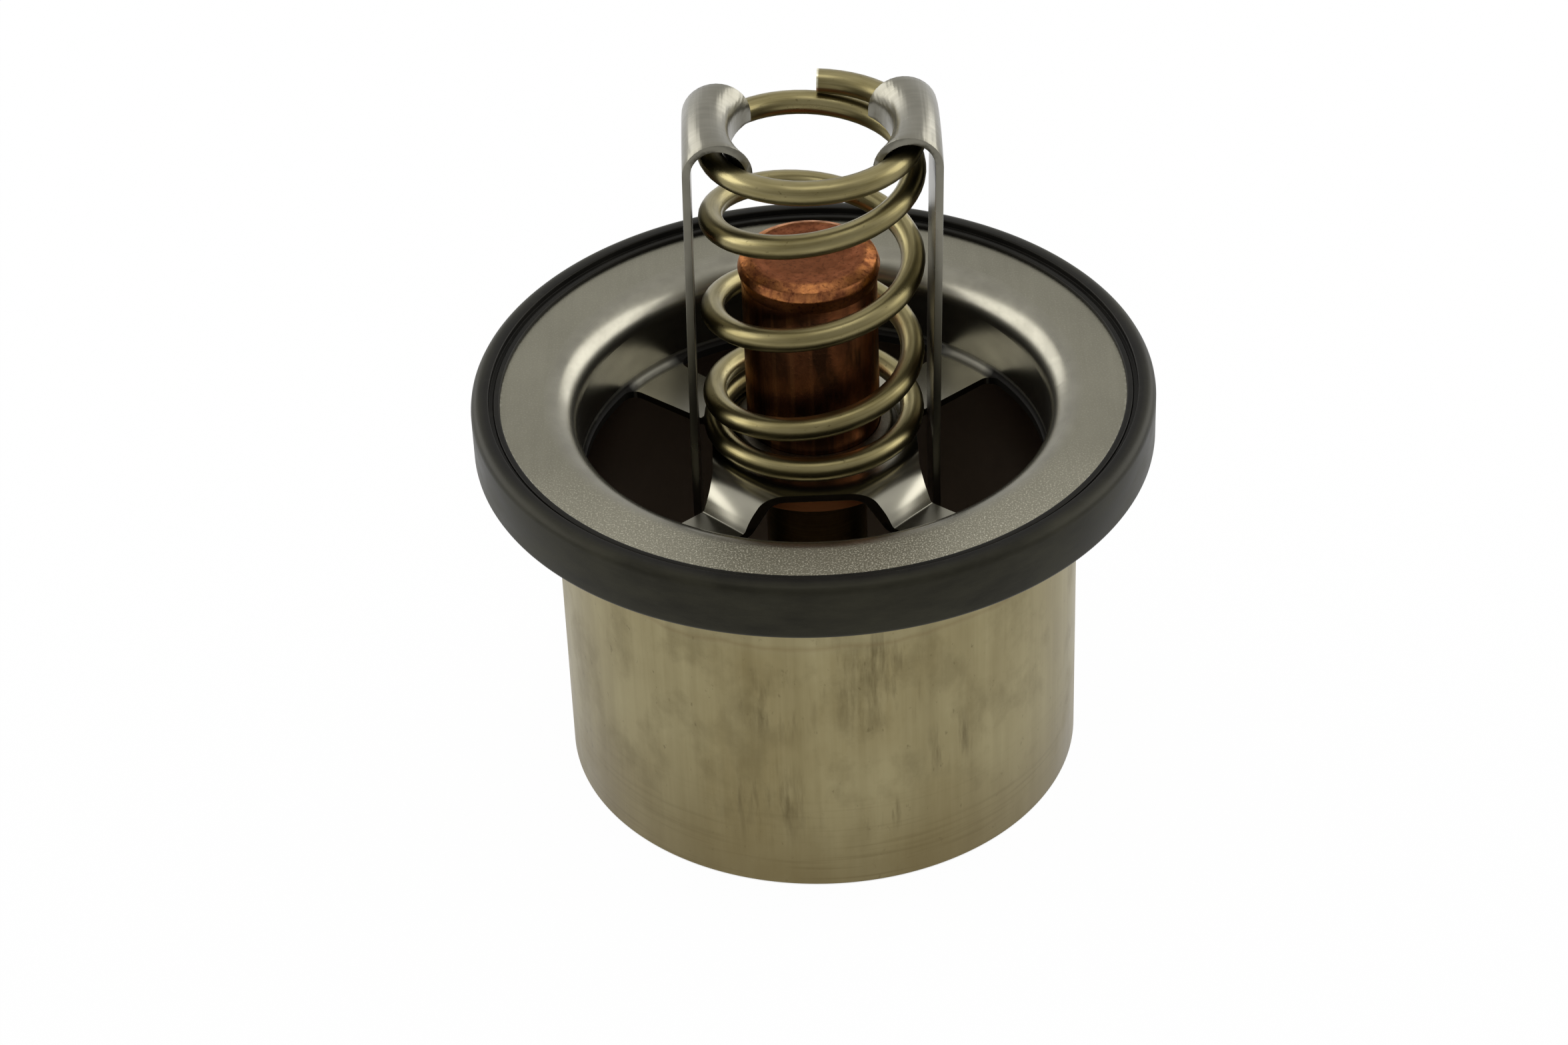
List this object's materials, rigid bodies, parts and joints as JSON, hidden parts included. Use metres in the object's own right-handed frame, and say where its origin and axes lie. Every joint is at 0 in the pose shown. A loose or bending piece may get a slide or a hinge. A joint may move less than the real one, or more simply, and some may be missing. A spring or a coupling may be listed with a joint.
{
  "type": "engine thermostat",
  "caption": "Sleeve-valve wax thermostat of a heavy engine: rubber-rimmed flange with a four-window bowl, copper wax cup, coil spring, hooked stirrup and sliding sleeve.",
  "frame": {"origin": "centre of the sleeve's lower rim, the plane on which the thermostat stands", "axes": "+Z along the thermostat's axis, from the sleeve up to the spring's hooks; the stirrup's two straps lie at +X and -X"},
  "size_m": [0.08, 0.08, 0.0875],
  "materials": {
    "stainless_sheet": "satin rolled stainless sheet with a fine grain",
    "black_rubber": "moulded black rubber, slightly oily",
    "spring_steel": "dull spring steel",
    "copper": "dull copper, bright at the worn shoulder",
    "wax": "copper-filled wax",
    "element_rubber": "plain rubber",
    "turned_brass": "turned brass",
    "hard_plastic": "hard white plastic",
    "plated_spring_wire": "olive-brass plated round wire",
    "drawn_brass": "drawn tube, khaki, with faint upright streaks and stains",
    "strap_steel": "bent steel strip, satin",
    "ground_steel": "ground rod",
    "rivet_steel": "plain steel"
  },
  "bodies": {
    "frame": {"flange_bowl": "stainless_sheet", "seal_ring": "black_rubber", "dished_washer": "spring_steel", "wax_cup": "copper", "wax_charge": "wax", "diaphragm": "element_rubber", "piston_guide": "turned_brass", "rubber_plug": "element_rubber", "backup_disc": "hard_plastic", "return_spring": "plated_spring_wire"},
    "valve": {"sleeve": "drawn_brass", "sleeve_bridge": "strap_steel", "stirrup": "strap_steel", "piston_rod": "ground_steel", "piston_seat": "turned_brass", "rivet_left": "rivet_steel", "rivet_right": "rivet_steel"}
  },
  "joints": [
    {"name": "sleeve_travel", "type": "slide", "parent": "frame", "child": "valve", "axis": [0, 0, -1], "range_m": [0, 0.01], "stiffness_N_per_m": 6000, "springref_m": -0.004, "deforming": ["return_spring"]}
  ]
}
